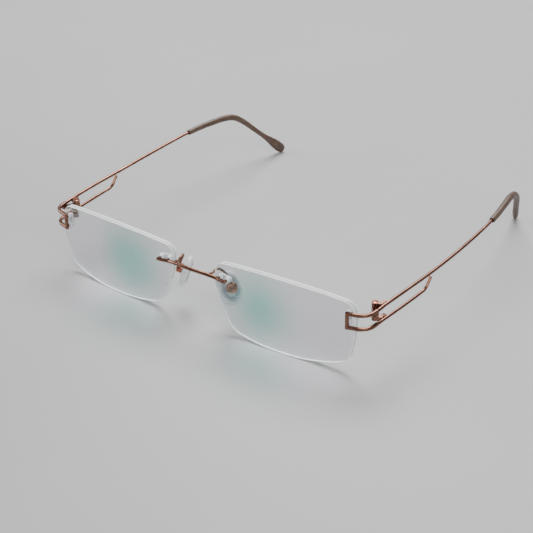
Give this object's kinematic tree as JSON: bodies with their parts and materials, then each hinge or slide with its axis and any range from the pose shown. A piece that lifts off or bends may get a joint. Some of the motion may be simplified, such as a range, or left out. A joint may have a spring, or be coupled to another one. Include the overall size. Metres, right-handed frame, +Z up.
{
  "type": "rimless eyeglasses",
  "caption": "Rimless eyeglasses: drilled lenses, a round wire bridge, U-shaped wire end pieces, hinged wire temples with a brace, plastic tips and rocking clear nose pads.",
  "frame": {"origin": "on the table, at the middle of the object's box in plan", "axes": "+Z up; the lenses face -Y and the temples run towards +Y; +X is the wearer's left"},
  "size_m": [0.1428, 0.1368, 0.0288],
  "materials": {
    "metal": "polished rose copper plating",
    "lens": "clear plastic, matte edge",
    "plug": "translucent white",
    "tip": "satin taupe",
    "pad": "clear soft silicone"
  },
  "bodies": {
    "front": {"bridge": "metal", "left_lens": "lens", "right_lens": "lens", "left_bridge_plug": "plug", "right_bridge_plug": "plug", "left_end_piece_plug": "plug", "right_end_piece_plug": "plug", "left_end_piece": "metal", "right_end_piece": "metal", "left_hinge_front": "metal", "right_hinge_front": "metal", "left_pad_arm": "metal", "right_pad_arm": "metal", "left_pad_box": "metal", "right_pad_box": "metal", "left_pad_screw": "metal", "right_pad_screw": "metal"},
    "left_temple": {"left_temple_wire": "metal", "left_brace_wire": "metal", "left_upper_knuckle": "metal", "left_lower_knuckle": "metal", "left_hinge_screw": "metal", "left_temple_tip": "tip"},
    "right_temple": {"right_temple_wire": "metal", "right_brace_wire": "metal", "right_upper_knuckle": "metal", "right_lower_knuckle": "metal", "right_hinge_screw": "metal", "right_temple_tip": "tip"},
    "left_pad": {"left_pad_core": "plug", "left_nose_pad": "pad"},
    "right_pad": {"right_pad_core": "plug", "right_nose_pad": "pad"}
  },
  "joints": [
    {"name": "left_temple_fold", "type": "hinge", "parent": "front", "child": "left_temple", "pos_m": [0.0658, -0.05348, 0.02035], "axis": [0, 0, 1], "range_deg": [0, 86]},
    {"name": "right_temple_fold", "type": "hinge", "parent": "front", "child": "right_temple", "pos_m": [-0.0658, -0.05348, 0.02035], "axis": [0, 0, -1], "range_deg": [0, 80]},
    {"name": "left_pad_rock", "type": "hinge", "parent": "front", "child": "left_pad", "pos_m": [0.01176, -0.05873, 0.01408], "axis": [0.3497, 0.9245, 0.1514], "range_deg": [-8, 8]},
    {"name": "right_pad_rock", "type": "hinge", "parent": "front", "child": "right_pad", "pos_m": [-0.01176, -0.05873, 0.01408], "axis": [0.3497, -0.9245, -0.1514], "range_deg": [-8, 8]}
  ]
}
